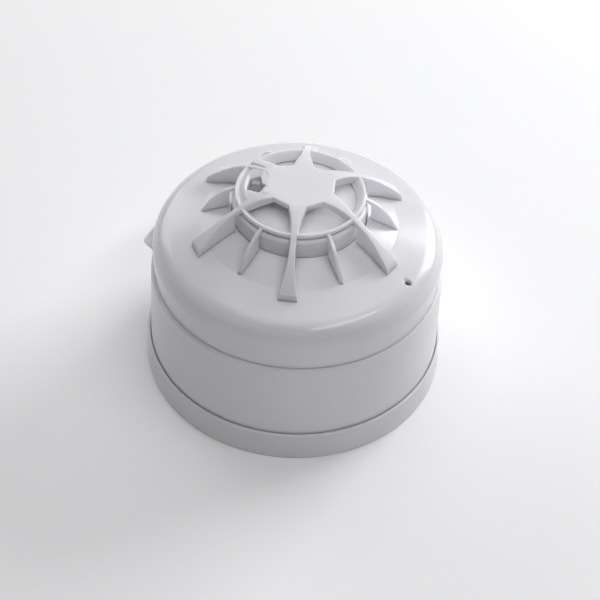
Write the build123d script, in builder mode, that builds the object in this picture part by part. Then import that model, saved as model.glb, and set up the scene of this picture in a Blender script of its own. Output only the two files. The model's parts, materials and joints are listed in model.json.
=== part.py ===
from build123d import *
import os
from math import cos, radians, sin, sqrt

# Radio heat detector head on its mounting base.
# Origin: centre of the base's underside. +Z points out of the ceiling plate, through the star.
# The star's big ribs lie at 30, 90, 150, 210, 270 and 330 degrees from +X.

os.makedirs("parts", exist_ok=True)

# ---------------------------------------------------------------- driving dimensions (mm)
# mounting base
base_r = 55.0                # outside radius at the ceiling
base_lip_r = 54.6            # outside radius at the lip
base_rim_inner_r = 53.55
base_height = 11.8
base_floor = 2.5             # floor thickness
lip_fillet = 0.75            # the lip's outer edge
lip_inner_fillet = 0.12
edge_fillet = 0.5            # outer edges of the base and the skirt
slot_centre_r = 30.0         # fixing slots, 60 mm apart across the centre
slot_length = 13.2
slot_width = 4.2

# bayonet
lug_azimuths = (30, 150, 270)
lug_half_span = 10           # degrees
ledge_half_span = 12         # degrees, the stop at the locked end included
stop_half_span = 1           # degrees
spigot_inner_r = 39.4
spigot_outer_r = 41.2
lug_r = 45.4
lug_bottom = 3.3
lug_top = 6.2
ledge_inner_r = 42.4
ledge_outer_r = 46.0
ledge_bottom = 6.8
ledge_top = 8.5
ledge_wall_r = 48.0

# head housing
skirt_bottom = 4.0
skirt_r = 53.25              # upright inside the base, tapered above it
skirt_taper_z = 13.0
housing_top_r = 52.05        # the housing stands out from the cover at the seam
seam_r = 50.8                # outside radius of the cover at the seam
seam_z = 43.0
seam_fillet = 1.2            # the housing's top edge
wall = 2.2
skirt_inner_r = skirt_r - wall
plate_bottom = 10.5          # closing plate of the head
plate_top = 12.5
seat_inner_r = 32.4          # seat of the battery door
seat_outer_r = 39.0
seat_top = 14.5
door_hole_r = 37.3
housing_top_inner_r = 48.6

# top cover
cover_wall = 2.0
cover_side_r = 51.2
cover_side_top = 52.2
shoulder_r = 44.6
shoulder_z = 60.7
cone_r = 34.3                # circle where the steeper cone starts
cone_z = 63.5
mouth_r = 23.45              # opening that the inner dome fills
mouth_z = 68.0
seam_gap = 0.15              # height of the shadow groove above the seam
groove_r = seam_r - 0.45
cover_spigot_outer_r = 48.3  # ring that centres the cover in the housing
cover_spigot_inner_r = 46.3
cover_spigot_bottom = 40.4
cover_spigot_top = seam_z + 3.0
seal_groove_r = 47.4
seal_groove_bottom = 41.0
seal_groove_top = 42.6

# inner dome
collar_r = 23.2
collar_inner_r = 21.8
collar_top = 73.2
collar_lip_r = 21.6          # the collar's rounded top edge, close under the hoop
collar_lip_z = 74.4
dome_edge_r = 20.4
dome_edge_z = 73.1
dome_mid_r = 10.4
dome_mid_z = 74.5
dome_crown_z = 75.0
dome_wall = 1.6
flange_bottom = 56.4
flange_top = 58.0
flange_r = 34.5

# star cage
star_top = 80.2
plate_thickness = 2.2
star_edge_r = 9.6            # where the arms and the window sector leave the flat star plate
facet_r = 11.5               # distance of the star's straight edges from the axis
back_facet_r = 10.0          # the same for the two edges at the back
back_facets = (60, 120)
facet_half_span = 14         # degrees
big_rib_azimuths = (30, 90, 150, 210, 270, 330)
small_rib_azimuths = (0, 60, 120, 180, 240, 300)
rib_inner_r = 24.5           # the ribs' upright inner edges
rib_foot_z = 58.0            # below the cover's surface; the envelope trims the feet
rib_crest_z = 82.0           # above every crest; the side profile trims the tops
rib_cut_z = 60.0
big_rib_plan = ((9.5, 3.55), (11.0, 3.1), (16.0, 1.75), (22.5, 0.95), (30.0, 1.0), (39.0, 2.75))
big_rib_crest = ((star_edge_r, star_top), (17.9, 78.7), (24.5, 75.6), (32.1, 70.3), (38.4, 64.8))
big_rib_under = ((rib_inner_r, 73.6), (22.4, 74.6), (18.5, 75.4), (14.4, 76.8))
big_rib_foot_r = 39.0
big_rib_draft = 0.65         # how much wider each side is at the foot than at the crest
small_rib_plan = ((21.4, 0.45), (28.0, 0.5), (34.6, 0.35))
small_rib_crest = ((21.9, 76.4), (26.5, 73.9), (30.6, 69.9), (cone_r, 63.4))
small_rib_under = ((rib_inner_r, 73.6), (21.9, 75.2))
small_rib_draft = 0.45
rib_half_room = 10.0         # more than any rib's half width

hoop_profile = ((22.4, 76.9), (21.5, 76.9), (19.1, 74.4), (19.3, 73.9), (22.4, 75.5))
# the sector that is closed by a plate with the indicator window and the sight slot
window_start = 138           # azimuths where that plate starts and ends
window_end = 210
window_profile = ((star_edge_r, star_top), (13.0, star_top), (22.0, 77.0), (22.4, 75.5),
                  (star_edge_r, star_top - plate_thickness))
window_outline = ((-17.7, 3.0), (-14.0, 3.4), (-13.2, -0.6), (-11.7, -1.6), (-13.6, -5.0), (-18.2, -2.7))
window_fillet = 0.4
sight_slot_outline = ((-20.3, 11.4), (-16.7, 9.5), (-12.8, 6.9), (-13.0, 7.5), (-16.6, 11.2), (-20.5, 12.7))
sight_slot_fillet = 0.15
cage_cut_z = 70.0            # below the star, above the cover

# locking screw
driver_hole_r = 1.2          # way in for the locking screw's driver
lock_azimuth = -30
lock_r = 45.2
lock_screw_r = 1.5
lock_screw_bottom = 8.2
lock_screw_length = 10.0
lock_screw_chamfer = 0.4
lock_socket_r = 0.75         # across-flats radius of the hexagon socket
lock_socket_depth = 2.5
lock_dog_azimuth = -24
lock_dog_half_span = 1.3     # degrees
lock_dog_half_depth = 1.8
lock_dog_top = 7.2
lock_boss_inset = 0.8        # the boss's centre lies this much nearer the axis than the screw
insert_r = 2.6
insert_height = 6.5
driver_bore_r = 1.9

# tamper plunger
tamper_y = 44.6
tamper_centre = (0, tamper_y)
tamper_pad_r = 2.6
tamper_pad_top = 5.0
tamper_tip = 5.3
plunger_r = 1.6
plunger_tip_fillet = 0.8
plunger_collar_bottom = 12.8
plunger_collar_top = 14.0
tamper_bore_r = 3.1
tamper_guide_wall = 1.3
tamper_guide_height = 10.0
running_gap = 0.08           # radial, round the plunger and its stem
stem_r = 1.0
stem_top = 29.4
cap_bottom = 21.0
cap_top = plate_top + tamper_guide_height
spring_wire_r = 0.25
spring_r = 2.0
spring_turns = 5

# boards
board_thickness = 1.6
sensor_board_z = 50.2
sensor_board_top = sensor_board_z + board_thickness
sensor_board_r = 31.0
radio_board_z = 36.0
radio_board_top = radio_board_z + board_thickness
radio_board_r = 40.0
switch_ear = (12.0, 9.0)
switch_ear_y = 42.5
chip_size = (7.0, 7.0, 1.2)
chip_places = ((9, 6), (8, -9))
header_place = (22, 0)
header_size = (5.0, 15.0, 8.5)
header_pitch = 2.54
pin_width = 0.64
shield_size = (24.0, 18.0, 3.0)
shield_place = (-9, 4)
antenna_r = 34.0
antenna_half_width = 0.25
antenna_post_height = 8.0
antenna_strip_height = 2.5
capacitor_r = 4.0
capacitor_length = 12.0
capacitor_place = (8, -22)
switch_size = (6.0, 6.0, 3.8)
switch_button = (1.4, 0.9)   # radius and height

# thermistor and indicator
thermistor_hole_r = 2.4
bead_bottom = 75.4
bead_top = 77.55
bead_r = 1.45
lead_pitch = 1.6
lead_r = 0.25
pipe_centre = (-15.2, -0.6)
pipe_size = (3.0, 3.6)
pipe_top = 78.6
pipe_clearance = 0.4
pipe_bevel = (1.6, 1.4)
led_base = (2.8, 3.4, 1.2)
led_lens_r = 1.1
led_lens_height = 0.7
led_gap = 0.3                # between the lamp's lens and the light pipe

# batteries
cell_r = 8.5
cell_length = 34.5
cell_pip = (3.1, 1.2)        # radius and height
cell_pitch = 17.6
cell_z = 24.1
cell_clearance = 0.3
positive_ends = ((-1, 1), (0, -1), (1, 1))      # row, side
negative_ends = ((-1, -1), (0, 1), (1, -1))
contact_thickness = 0.4
contact_face = (9.0, 11.0)
contact_pin_width = 2.0
contact_bow_r = 2.4
contact_gap = 1.2            # room for a contact at each end of a cell
carrier_wall = 1.0
carrier_roof = 1.2
carrier_bottom = 14.9
pad_size = (28.0, 48.0)
door_r = 37.0
door_bottom = 10.7
door_top = 12.3
grip_rib = (20.0, 1.2, 0.8)  # length, width and height
grip_pitch = 3.2
grip_count = 5

# index flag in the seam
flag_thickness = 1.5
flag_outline = ((-49.4, -3.0), (-50.9, -2.3), (-56.2, 2.8), (-53.3, 10.8), (-49.4, 15.0))
flag_tip_fillet = 1.6
flag_border = 1.1
flag_recess = 0.5
flag_clearance = 0.1

# screws: clearance and pilot holes, bosses and seats
cover_screw_azimuths = (60, 180, 300)
cover_screw_r = 44.4
cover_boss_r = 2.85
cover_boss_top = 56.0
cover_boss_bottom = seam_z - 2.9
housing_boss_r = 4.2
housing_boss_top = seam_z - 3.0
screw_recess_r = 3.1
screw_recess_top = 32.0
stack_screw_azimuths = (90, 210, 330)
stack_screw_r = 28.0
stack_boss_r = 3.0
stack_sleeve_r = 2.6
board_screw_azimuths = (30, 150, 270)
board_screw_r = 36.3
board_pillar_r = 2.5
door_screw_azimuths = (90, 210, 330)
door_screw_r = 34.8
door_boss_r = 2.7
door_boss_height = 3.5
door_boss_offset = 0.4       # the boss's centre lies this much further out than the screw
m3_clearance_r = 1.6
m3_pilot_r = 1.5
m25_clearance_r = 1.4
m25_pilot_r = 1.25
m2_clearance_r = 1.3
m2_pilot_r = 1.0
thread_gap = 0.01            # radial, keeps a screw's thread off its pilot hole


# ---------------------------------------------------------------- helpers
def polar(radius, azimuth):
    """Point on the XY plane at a radius and an azimuth in degrees."""
    return (radius * cos(radians(azimuth)), radius * sin(radians(azimuth)))


def ring(radius, azimuths):
    """Points at the same radius."""
    return [polar(radius, azimuth) for azimuth in azimuths]


def discs(z, centres, radius):
    """Equal discs on a level plane, as a sketch to extrude."""
    with BuildSketch(Plane.XY.offset(z)) as plan:
        with Locations(*centres):
            Circle(radius)
    return plan.sketch


def arc_sector(inner_r, outer_r, azimuth, half_span):
    """Flat ring sector, for use inside a BuildSketch."""
    start, end = azimuth - half_span, azimuth + half_span
    with BuildLine() as outline:
        CenterArc((0, 0), outer_r, start, 2 * half_span)
        Line(polar(outer_r, end), polar(inner_r, end))
        CenterArc((0, 0), inner_r, start, 2 * half_span)
        Line(polar(inner_r, start), polar(outer_r, start))
    make_face(outline.edges())


def sectors(z, inner_r, outer_r, azimuths, half_span):
    """Equal ring sectors on a level plane, as a sketch to extrude."""
    with BuildSketch(Plane.XY.offset(z)) as plan:
        for azimuth in azimuths:
            arc_sector(inner_r, outer_r, azimuth, half_span)
    return plan.sketch


def closed_outline(points):
    """Closed polygon, for use inside a BuildSketch."""
    with BuildLine() as outline:
        Polyline(*points, close=True)
    make_face(outline.edges())


def radial_plane(azimuth):
    """Upright plane through the axis: its X runs outwards at the azimuth and its Y is +Z."""
    outwards = (*polar(1, azimuth), 0)
    return Plane(origin=(0, 0, 0), x_dir=outwards, z_dir=(outwards[1], -outwards[0], 0))


def save(part, name):
    """Label a finished piece and write it to its own STEP file."""
    part.label = name
    export_step(part, f"parts/{name}.step")


def pan_screws(centres, head_z, thread_r, head_r, head_height, length, heads_up=False):
    """A group of identical cross-recess screws; head_z is the face under the head."""
    sign = 1 if heads_up else -1
    crown_fillet = head_height * 0.35
    slot_span, slot_breadth = head_r * 1.1, head_r * 0.22
    seats = [(x, y, head_z) for x, y in centres]
    crowns = [(x, y, head_z + sign * head_height) for x, y in centres]
    upwards = (Align.CENTER, Align.CENTER, Align.MIN)
    with BuildPart() as screws:
        with Locations(*seats):
            Cylinder(head_r, head_height, rotation=(0 if heads_up else 180, 0, 0), align=upwards)
        levels = screws.faces().filter_by(Axis.Z).sort_by(Axis.Z)
        outer = levels[-len(centres):] if heads_up else levels[:len(centres)]
        fillet(outer.edges(), crown_fillet)
        with Locations(*seats):
            Cylinder(thread_r, length, rotation=(180 if heads_up else 0, 0, 0), align=upwards)
        with Locations(*crowns):
            Box(slot_span, slot_breadth, head_height, mode=Mode.SUBTRACT)
            Box(slot_breadth, slot_span, head_height, mode=Mode.SUBTRACT)
    return screws.part


# where the screws and the locking screw stand
cover_positions = ring(cover_screw_r, cover_screw_azimuths)
stack_positions = ring(stack_screw_r, stack_screw_azimuths)
board_positions = ring(board_screw_r, board_screw_azimuths)
door_positions = ring(door_screw_r, door_screw_azimuths)
lock_position = polar(lock_r, lock_azimuth)

# ---------------------------------------------------------------- mounting base
ledge_azimuths = [azimuth - stop_half_span for azimuth in lug_azimuths]
stop_azimuths = [azimuth - ledge_half_span for azimuth in lug_azimuths]

with BuildPart() as mounting_base:
    with BuildSketch(Plane.XZ):
        closed_outline([
            (0, 0), (base_r, 0), (base_lip_r, base_height),
            (base_rim_inner_r, base_height), (base_rim_inner_r, base_floor), (0, base_floor),
        ])
    revolve(axis=Axis.Z)
    lip_edges = mounting_base.edges().filter_by(GeomType.CIRCLE).group_by(Axis.Z)[-1]
    fillet(lip_edges.sort_by(SortBy.RADIUS)[-1], lip_fillet)
    lip_inner_edge = mounting_base.edges().filter_by(GeomType.CIRCLE).group_by(Axis.Z)[-1]
    fillet(lip_inner_edge.sort_by(SortBy.RADIUS)[0], lip_inner_fillet)
    foot_edge = mounting_base.edges().filter_by(GeomType.CIRCLE).sort_by(SortBy.RADIUS)[-1]
    fillet(foot_edge, edge_fillet)
    # bayonet ledges: an arc of wall, a ledge that hangs inwards and a stop at its locked end
    extrude(sectors(base_floor, ledge_outer_r, ledge_wall_r, ledge_azimuths, ledge_half_span),
            amount=ledge_top - base_floor)
    extrude(sectors(ledge_bottom, ledge_inner_r, ledge_outer_r, ledge_azimuths, ledge_half_span),
            amount=ledge_top - ledge_bottom)
    extrude(sectors(base_floor, ledge_inner_r, ledge_outer_r, stop_azimuths, stop_half_span),
            amount=ledge_bottom - base_floor)
    # dog that the locking screw's tip runs down beside
    extrude(sectors(base_floor, lock_r - lock_dog_half_depth, lock_r + lock_dog_half_depth,
                    [lock_dog_azimuth], lock_dog_half_span),
            amount=lock_dog_top - base_floor)
    # pad under the tamper plunger
    extrude(discs(base_floor, [tamper_centre], tamper_pad_r), amount=tamper_pad_top - base_floor)
    # fixing slots
    with BuildSketch():
        with Locations((slot_centre_r, 0), (-slot_centre_r, 0)):
            SlotOverall(slot_length, slot_width)
        with Locations((0, slot_centre_r), (0, -slot_centre_r)):
            SlotOverall(slot_length, slot_width, rotation=90)
    extrude(amount=base_floor, mode=Mode.SUBTRACT)
save(mounting_base.part, "mounting_base")

# ---------------------------------------------------------------- head housing
lug_overlap = 0.5            # how far the lugs reach into the spigot's wall
wall_taper = 0.2             # the wall thickens by this much at the closing plate
board_pilot_depth = 9.0
door_pilot_depth = 4.5
insert_bore_depth = 7.0
plunger_bore_depth = 5.0
lock_boss_position = polar(lock_r - lock_boss_inset, lock_azimuth)

with BuildPart() as body_housing:
    with BuildSketch(Plane.XZ):
        closed_outline([
            (skirt_inner_r, skirt_bottom), (skirt_r, skirt_bottom), (skirt_r, skirt_taper_z),
            (housing_top_r, seam_z), (housing_top_inner_r, seam_z), (skirt_inner_r - wall_taper, plate_top),
            (seat_outer_r, plate_top), (seat_outer_r, seat_top), (seat_inner_r, seat_top),
            (seat_inner_r, plate_top), (door_hole_r, plate_top), (door_hole_r, plate_bottom),
            (spigot_inner_r, plate_bottom), (spigot_inner_r, lug_bottom),
            (spigot_outer_r, lug_bottom), (spigot_outer_r, plate_bottom),
            (skirt_inner_r, plate_bottom),
        ])
    revolve(axis=Axis.Z)
    # bayonet lugs
    extrude(sectors(lug_bottom, spigot_outer_r - lug_overlap, lug_r, lug_azimuths, lug_half_span),
            amount=lug_top - lug_bottom)
    # cover screw bosses and the locking screw's driver boss, up to the seam
    extrude(discs(plate_bottom, cover_positions + [lock_boss_position], housing_boss_r),
            amount=housing_boss_top - plate_bottom)
    extrude(discs(plate_bottom, cover_positions, screw_recess_r),
            amount=screw_recess_top - plate_bottom, mode=Mode.SUBTRACT)
    extrude(discs(plate_bottom, cover_positions, m3_clearance_r),
            amount=seam_z - plate_bottom, mode=Mode.SUBTRACT)
    extrude(discs(plate_bottom, [lock_position], insert_r + 2 * thread_gap),
            amount=insert_bore_depth, mode=Mode.SUBTRACT)
    extrude(discs(plate_bottom, [lock_position], driver_bore_r),
            amount=seam_z - plate_bottom, mode=Mode.SUBTRACT)
    # tamper plunger guide
    extrude(discs(plate_top, [tamper_centre], tamper_bore_r + tamper_guide_wall),
            amount=tamper_guide_height)
    extrude(discs(plate_top, [tamper_centre], tamper_bore_r),
            amount=tamper_guide_height, mode=Mode.SUBTRACT)
    extrude(discs(plate_bottom, [tamper_centre], plunger_r + running_gap),
            amount=plunger_bore_depth, mode=Mode.SUBTRACT)
    # pillars under the radio board and bosses over the door screws, with their pilot holes
    extrude(discs(seat_top, board_positions, board_pillar_r), amount=radio_board_z - seat_top)
    extrude(discs(radio_board_z, board_positions, m25_pilot_r),
            amount=-board_pilot_depth, mode=Mode.SUBTRACT)
    extrude(discs(seat_top, ring(door_screw_r + door_boss_offset, door_screw_azimuths), door_boss_r),
            amount=door_boss_height)
    extrude(discs(plate_top, door_positions, m2_pilot_r),
            amount=door_pilot_depth, mode=Mode.SUBTRACT)
    for level, radius in ((skirt_bottom, edge_fillet), (seam_z, seam_fillet)):
        level_edges = body_housing.edges().filter_by(GeomType.CIRCLE).filter_by_position(
            Axis.Z, level - 0.01, level + 0.01)
        fillet(level_edges.sort_by(SortBy.RADIUS)[-1], radius)
save(body_housing.part, "body_housing")

# ---------------------------------------------------------------- top cover
slope = sqrt((shoulder_r - cone_r) ** 2 + (cone_z - shoulder_z) ** 2)
inner_shoulder = (shoulder_r - cover_wall * (cone_z - shoulder_z) / slope,
                  shoulder_z - cover_wall * (shoulder_r - cone_r) / slope)
inner_cone = (cone_r - 0.3, cone_z - cover_wall)
inner_side = (cover_side_r - cover_wall, cover_side_top)
groove_top_z = seam_z + seam_gap
cover_pilot_depth = 10.0
stack_pilot_depth = 4.2
driver_cut_bottom = 50.0
driver_cut_height = 20.0

with BuildPart() as cover_envelope:      # everything below the cover's outer surface
    with BuildSketch(Plane.XZ):
        with BuildLine():
            Line((0, seam_z), (cover_side_r, seam_z))
            Line((cover_side_r, seam_z), (cover_side_r, cover_side_top))
            TangentArc((cover_side_r, cover_side_top), (shoulder_r, shoulder_z), tangent=(0, 1))
            Polyline((shoulder_r, shoulder_z), (cone_r, cone_z), (mouth_r, mouth_z),
                     (0, mouth_z), (0, seam_z))
        make_face()
    revolve(axis=Axis.Z)

with BuildPart() as top_cover:
    with BuildSketch(Plane.XZ):
        with BuildLine():
            Polyline((cover_spigot_outer_r, seam_z), (groove_r - 0.05, seam_z),
                     (groove_r + 0.05, groove_top_z), (seam_r + 0.05, groove_top_z),
                     (cover_side_r, cover_side_top))
            TangentArc((cover_side_r, cover_side_top), (shoulder_r, shoulder_z), tangent=(0, 1))
            Polyline((shoulder_r, shoulder_z), (cone_r, cone_z), (mouth_r, mouth_z),
                     (mouth_r, mouth_z - cover_wall), inner_cone, inner_shoulder)
            TangentArc(inner_side, inner_shoulder, tangent=(0, 1))
            Polyline(inner_side, (cover_spigot_outer_r, cover_spigot_top),
                     (cover_spigot_inner_r, cover_spigot_top),
                     (cover_spigot_inner_r, cover_spigot_bottom),
                     (cover_spigot_outer_r, cover_spigot_bottom),
                     (cover_spigot_outer_r, seal_groove_bottom),
                     (seal_groove_r, seal_groove_bottom), (seal_groove_r, seal_groove_top),
                     (cover_spigot_outer_r, seal_groove_top), (cover_spigot_outer_r, seam_z))
        make_face()
    revolve(axis=Axis.Z)
    # screw bosses hanging from the shoulder
    extrude(discs(cover_boss_bottom, cover_positions, cover_boss_r),
            amount=cover_boss_top - cover_boss_bottom)
    extrude(discs(cover_boss_top, cover_positions, cover_boss_r), until=Until.NEXT)
    extrude(discs(cover_boss_bottom, cover_positions, m3_pilot_r),
            amount=cover_pilot_depth, mode=Mode.SUBTRACT)
    # bosses for the screws that hold the dome and the sensor board
    extrude(discs(flange_top, stack_positions, stack_boss_r), until=Until.NEXT)
    extrude(discs(flange_top, stack_positions, m25_pilot_r),
            amount=stack_pilot_depth, mode=Mode.SUBTRACT)
    # driver hole
    extrude(discs(driver_cut_bottom, [lock_position], driver_hole_r),
            amount=driver_cut_height, mode=Mode.SUBTRACT)
    # notch for the index flag's root
    with BuildSketch(Plane.XY.offset(seam_z)):
        closed_outline(flag_outline)
        offset(amount=flag_clearance, kind=Kind.INTERSECTION)
    extrude(amount=flag_thickness + flag_clearance, mode=Mode.SUBTRACT)
save(top_cover.part, "top_cover")


# ---------------------------------------------------------------- star cage
def rib_plan(z, widths, draft):
    """Plan of a rib along +X: half widths at given radii, drawn out on each side by the draft."""
    with BuildSketch(Plane.XY.offset(z)) as plan:
        with BuildLine() as outline:
            left = Spline(*[(radius, half + draft) for radius, half in widths])
            right = Spline(*[(radius, -half - draft) for radius, half in widths])
            Line(left @ 0, right @ 0)
            Line(left @ 1, right @ 1)
        make_face(outline.edges())
    return plan.sketch


def rib(widths, draft, crest_points, crest_tangents, foot_r, under_points):
    """A rib along +X: its plan drawn up from the foot, trimmed to its crest and underside."""
    with BuildPart() as blade:
        add(rib_plan(rib_foot_z, widths, draft))
        add(rib_plan(rib_crest_z, widths, 0.0))
        loft(ruled=True)
        with BuildSketch(Plane.XZ) as side:
            with BuildLine() as outline:
                crest = Spline(*crest_points, tangents=crest_tangents)
                Polyline(crest @ 1, (foot_r, rib_cut_z), (rib_inner_r, rib_cut_z),
                         *under_points, crest @ 0)
            make_face(outline.edges())
        extrude(side.sketch, amount=rib_half_room, both=True, mode=Mode.INTERSECT)
    return blade.part


big_rib = rib(big_rib_plan, big_rib_draft, big_rib_crest, ((1, 0), (0.72, -0.69)),
              big_rib_foot_r, (*big_rib_under, (star_edge_r, star_top - plate_thickness)))
small_rib = rib(small_rib_plan, small_rib_draft, small_rib_crest, ((0.92, -0.39), (0.42, -0.91)),
                cone_r, small_rib_under)

with BuildPart() as sensor_cage:
    # star plate, its straight edges between the arms
    facet_distances = [back_facet_r if azimuth in back_facets else facet_r for azimuth in small_rib_azimuths]
    with BuildSketch(Plane.XY.offset(star_top - plate_thickness)):
        closed_outline([polar(distance / cos(radians(facet_half_span)), azimuth + side * facet_half_span)
                        for azimuth, distance in zip(small_rib_azimuths, facet_distances)
                        for side in (-1, 1)])
    extrude(amount=plate_thickness)
    # hoop: a blade that slopes down towards the axis
    with BuildSketch(Plane.XZ):
        closed_outline(hoop_profile)
    revolve(axis=Axis.Z)
    # plate round the indicator window, out to the hoop
    with BuildSketch(radial_plane(window_start)):
        closed_outline(window_profile)
    revolve(axis=Axis.Z, revolution_arc=window_end - window_start)
    with PolarLocations(0, 6, start_angle=big_rib_azimuths[0]):
        add(big_rib)
    with PolarLocations(0, 6, start_angle=small_rib_azimuths[0]):
        add(small_rib)
    add(cover_envelope.part, mode=Mode.SUBTRACT)
    # indicator window and the sight slot beside it
    with BuildSketch(Plane.XY.offset(cage_cut_z)):
        closed_outline(sight_slot_outline)
        fillet(vertices(), sight_slot_fillet)
    extrude(amount=rib_crest_z - cage_cut_z, mode=Mode.SUBTRACT)
    with BuildSketch(Plane.XY.offset(cage_cut_z)):
        closed_outline(window_outline)
        fillet(vertices(), window_fillet)
    extrude(amount=rib_crest_z - cage_cut_z, mode=Mode.SUBTRACT)
save(sensor_cage.part, "sensor_cage")

# ---------------------------------------------------------------- inner dome
collar_inner_top = collar_top - 0.8
dome_cut_bottom = 65.0
dome_cut_height = 15.0

with BuildPart() as sensor_dome:
    with BuildSketch(Plane.XZ):
        with BuildLine():
            Polyline((collar_r, collar_top), (collar_r, flange_top), (flange_r, flange_top),
                     (flange_r, flange_bottom), (collar_inner_r, flange_bottom),
                     (collar_inner_r, collar_inner_top))
            TangentArc((collar_r, collar_top), (collar_lip_r, collar_lip_z), tangent=(0, 1))
            Line((collar_lip_r, collar_lip_z), (dome_edge_r, dome_edge_z))
            ThreePointArc((dome_edge_r, dome_edge_z), (dome_mid_r, dome_mid_z), (0, dome_crown_z))
            Line((0, dome_crown_z), (0, dome_crown_z - dome_wall))
            ThreePointArc((0, dome_crown_z - dome_wall), (dome_mid_r, dome_mid_z - dome_wall),
                          (dome_edge_r, dome_edge_z - dome_wall))
            Line((dome_edge_r, dome_edge_z - dome_wall), (collar_inner_r, collar_inner_top))
        make_face()
    revolve(axis=Axis.Z)
    # sleeves that space the sensor board from the flange, and the screw holes through them
    extrude(discs(sensor_board_top, stack_positions, stack_sleeve_r),
            amount=flange_bottom - sensor_board_top)
    extrude(discs(sensor_board_z, stack_positions, m25_clearance_r),
            amount=flange_top - sensor_board_z, mode=Mode.SUBTRACT)
    # openings for the thermistor and the light pipe
    with BuildSketch(Plane.XY.offset(dome_cut_bottom)):
        Circle(thermistor_hole_r)
        with Locations(pipe_centre):
            Rectangle(pipe_size[0] + pipe_clearance, pipe_size[1] + pipe_clearance)
    extrude(amount=dome_cut_height, mode=Mode.SUBTRACT)
save(sensor_dome.part, "sensor_dome")

# ---------------------------------------------------------------- thermistor
lead_positions = [(-lead_pitch / 2, 0), (lead_pitch / 2, 0)]
bead_foot_r = 1.25
bead_belly_z = 76.1
bush_bottom = 73.0
bush_neck_z = 75.0
bush_r = thermistor_hole_r - 0.05
bush_top_r = 1.9

with BuildPart() as thermistor_bead:
    with BuildSketch(Plane.XZ):
        with BuildLine():
            Polyline((0, bead_top), (0, bead_bottom), (bead_foot_r, bead_bottom), (bead_r, bead_belly_z))
            RadiusArc((bead_r, bead_belly_z), (0, bead_top), -bead_r)
        make_face()
    revolve(axis=Axis.Z)
save(thermistor_bead.part, "thermistor_bead")

with BuildPart() as thermistor_leads:
    extrude(discs(sensor_board_top, lead_positions, lead_r), amount=bead_bottom - sensor_board_top)
save(thermistor_leads.part, "thermistor_leads")

with BuildPart() as thermistor_bush:
    with BuildSketch(Plane.XZ):
        closed_outline([(0, bush_bottom), (bush_r, bush_bottom), (bush_r, bush_neck_z),
                        (bush_top_r, bead_bottom), (0, bead_bottom)])
    revolve(axis=Axis.Z)
    extrude(discs(bush_bottom, lead_positions, lead_r),
            amount=bead_bottom - bush_bottom, mode=Mode.SUBTRACT)
save(thermistor_bush.part, "thermistor_bush")

# ---------------------------------------------------------------- indicator
led_top = sensor_board_top + led_base[2]
with BuildPart() as status_led:
    with BuildSketch(Plane.XY.offset(sensor_board_top)):
        with Locations(pipe_centre):
            Rectangle(led_base[0], led_base[1])
    extrude(amount=led_base[2])
    extrude(discs(led_top, [pipe_centre], led_lens_r), amount=led_lens_height)
save(status_led.part, "status_led")

pipe_bottom = led_top + led_lens_height + led_gap
with BuildPart() as led_light_pipe:
    with BuildSketch(Plane.XY.offset(pipe_bottom)):
        with Locations(pipe_centre):
            Rectangle(*pipe_size)
    extrude(amount=pipe_top - pipe_bottom)
    chamfer(led_light_pipe.faces().sort_by(Axis.Z)[-1].edges().sort_by(Axis.Y)[0], *pipe_bevel)
save(led_light_pipe.part, "led_light_pipe")

# ---------------------------------------------------------------- sensor board
with BuildPart() as sensor_board:
    extrude(discs(sensor_board_z, [(0, 0)], sensor_board_r), amount=board_thickness)
    extrude(discs(sensor_board_z, stack_positions, m25_clearance_r),
            amount=board_thickness, mode=Mode.SUBTRACT)
save(sensor_board.part, "sensor_board")

stands_on_z = (Align.CENTER, Align.CENTER, Align.MIN)
hangs_from_z = (Align.CENTER, Align.CENTER, Align.MAX)

with BuildPart() as sensor_chip:
    with Locations(*[(x, y, sensor_board_top) for x, y in chip_places]):
        Box(*chip_size, align=stands_on_z)
save(sensor_chip.part, "sensor_chip")

header_top = radio_board_top + header_size[2]
with BuildPart() as board_link_header:
    with Locations((*header_place, radio_board_top)):
        Box(*header_size, align=stands_on_z)
    with Locations((*header_place, header_top)):
        with GridLocations(header_pitch, header_pitch, 2, 5):
            Box(pin_width, pin_width, sensor_board_z - header_top, align=stands_on_z)
save(board_link_header.part, "board_link_header")

sensor_stack_screws = pan_screws(stack_positions, sensor_board_z, m25_pilot_r - thread_gap, 2.4, 1.6, 11.5)
save(sensor_stack_screws, "sensor_stack_screws")

# ---------------------------------------------------------------- radio board
with BuildPart() as radio_board:
    with BuildSketch(Plane.XY.offset(radio_board_z)):
        Circle(radio_board_r)
        with Locations((0, switch_ear_y)):
            Rectangle(*switch_ear)
    extrude(amount=board_thickness)
    extrude(discs(radio_board_z, board_positions, m3_pilot_r),
            amount=board_thickness, mode=Mode.SUBTRACT)
save(radio_board.part, "radio_board")

radio_board_screws = pan_screws(board_positions, radio_board_top, m25_pilot_r - thread_gap, 2.4, 1.6, 8.0,
                                heads_up=True)
save(radio_board_screws, "radio_board_screws")

with BuildPart() as radio_shield_can:
    with Locations((*shield_place, radio_board_top)):
        Box(*shield_size, align=stands_on_z)
    fillet(radio_shield_can.edges().filter_by(Axis.Z), 1.0)
    fillet(radio_shield_can.faces().sort_by(Axis.Z)[-1].edges(), edge_fillet)
save(radio_shield_can.part, "radio_shield_can")

antenna_band = (antenna_r - antenna_half_width, antenna_r + antenna_half_width)
antenna_top = radio_board_top + antenna_post_height
with BuildPart() as radio_antennas:
    # a short post at one end of each, then a long strip that curves round the board's edge
    extrude(sectors(radio_board_top, *antenna_band, (195, 345), 3), amount=antenna_post_height)
    extrude(sectors(antenna_top, *antenna_band, (215, 325), 23), amount=antenna_strip_height)
save(radio_antennas.part, "radio_antennas")

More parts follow.
